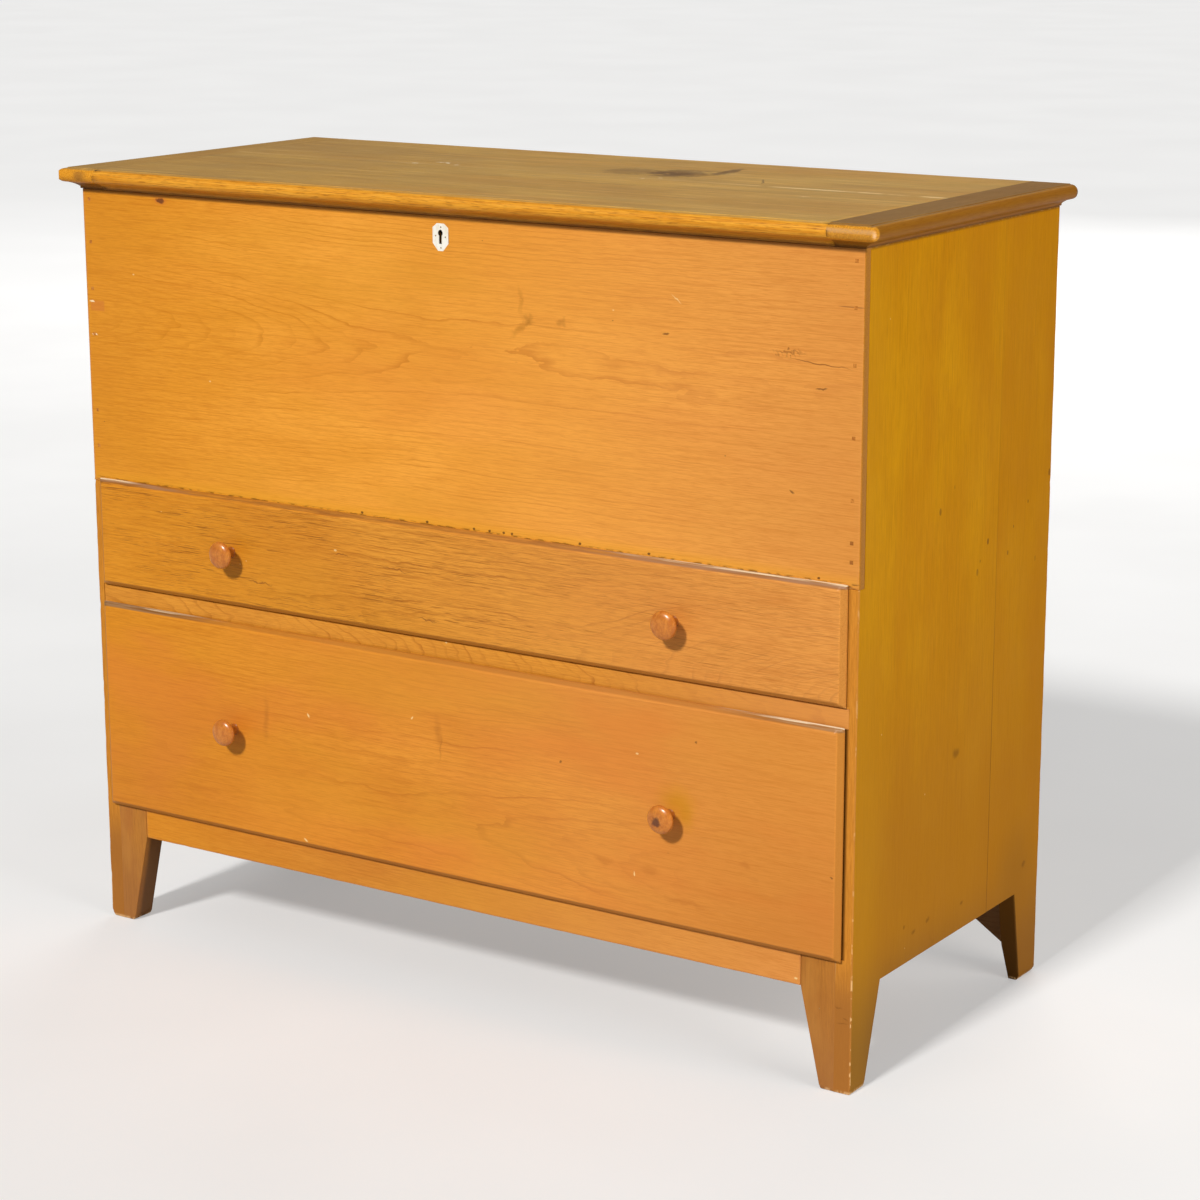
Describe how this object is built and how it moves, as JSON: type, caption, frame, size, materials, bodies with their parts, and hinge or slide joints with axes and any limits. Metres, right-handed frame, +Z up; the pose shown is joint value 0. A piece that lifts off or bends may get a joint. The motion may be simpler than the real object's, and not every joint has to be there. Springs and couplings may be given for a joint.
{
  "type": "blanket chest",
  "caption": "Wooden blanket chest on tapered feet: a hinged, moulded lid over a deep well with a lock, and full-width lipped drawers with turned knobs below.",
  "frame": {"origin": "centre of the whole object's footprint, at floor level", "axes": "+X to the chest's right as seen from its front, +Y from its front to its back, +Z up"},
  "size_m": [1.082, 0.4912, 0.9233],
  "materials": {
    "stained_pine_front": "honey-stained and shellacked pine, worn at the edges",
    "stained_pine_sides": "ochre-stained and shellacked pine, upright grain",
    "stained_pine_lid": "dulled olive-brown stained pine, worn to orange on the moulded edge",
    "flecked_wood": "honey-stained wood with short dark flecks, shellacked",
    "turned_cherry": "turned reddish hardwood, polished",
    "bare_pine": "unfinished aged pine",
    "bone": null,
    "iron": "dark aged iron",
    "brass": "aged brass, satin"
  },
  "bodies": {
    "case": {"side_left_front_board": "stained_pine_sides", "side_left_rear_board": "stained_pine_sides", "side_right_front_board": "stained_pine_sides", "side_right_rear_board": "stained_pine_sides", "front_board": "stained_pine_front", "well_floor": "bare_pine", "back_board_upper": "bare_pine", "back_board_middle": "bare_pine", "back_board_lower": "bare_pine", "drawer_rail": "stained_pine_front", "bottom_rail": "stained_pine_front", "front_foot_block_left": "stained_pine_front", "front_foot_block_right": "stained_pine_front", "rear_bracket_left": "bare_pine", "rear_bracket_right": "bare_pine", "upper_runner_left": "bare_pine", "upper_runner_right": "bare_pine", "lower_runner_left": "bare_pine", "lower_runner_right": "bare_pine", "escutcheon": "bone", "escutcheon_pins": "brass", "lock_case": "iron", "lock_screws": "iron", "front_nails": "iron", "back_nails": "iron", "hinge_case_leaf_left": "iron", "hinge_case_leaf_right": "iron", "hinge_pin_left": "iron", "hinge_pin_right": "iron", "case_hinge_screws": "iron"},
    "lid": {"lid_front_board": "stained_pine_lid", "lid_rear_board": "stained_pine_lid", "lid_cleat_left": "stained_pine_lid", "lid_cleat_right": "stained_pine_lid", "hinge_lid_leaf_left": "iron", "hinge_lid_leaf_right": "iron", "lid_hinge_screws": "iron", "strike_plate": "iron", "strike_screws": "iron"},
    "lock_bolt": {"lock_bolt": "brass"},
    "upper_drawer": {"upper_drawer_front": "flecked_wood", "upper_drawer_side_left": "bare_pine", "upper_drawer_side_right": "bare_pine", "upper_drawer_back": "bare_pine", "upper_drawer_bottom": "bare_pine", "upper_knob_left": "turned_cherry", "upper_knob_right": "turned_cherry", "upper_drawer_nails": "iron"},
    "lower_drawer": {"lower_drawer_front": "stained_pine_front", "lower_drawer_side_left": "bare_pine", "lower_drawer_side_right": "bare_pine", "lower_drawer_back": "bare_pine", "lower_drawer_bottom": "bare_pine", "lower_knob_left": "turned_cherry", "lower_knob_right": "turned_cherry", "lower_drawer_nails": "iron"}
  },
  "joints": [
    {"name": "lid_hinge", "type": "hinge", "parent": "case", "child": "lid", "pos_m": [0, 0.24245, 0.89815], "axis": [-1, 0, 0], "range_deg": [0, 100]},
    {"name": "upper_drawer_slide", "type": "slide", "parent": "case", "child": "upper_drawer", "axis": [0, -1, 0], "range_m": [0, 0.33]},
    {"name": "lower_drawer_slide", "type": "slide", "parent": "case", "child": "lower_drawer", "axis": [0, -1, 0], "range_m": [-0.0015, 0.33]},
    {"name": "lock_bolt_slide", "type": "slide", "parent": "case", "child": "lock_bolt", "axis": [1, 0, 0], "range_m": [0, 0.006]}
  ]
}
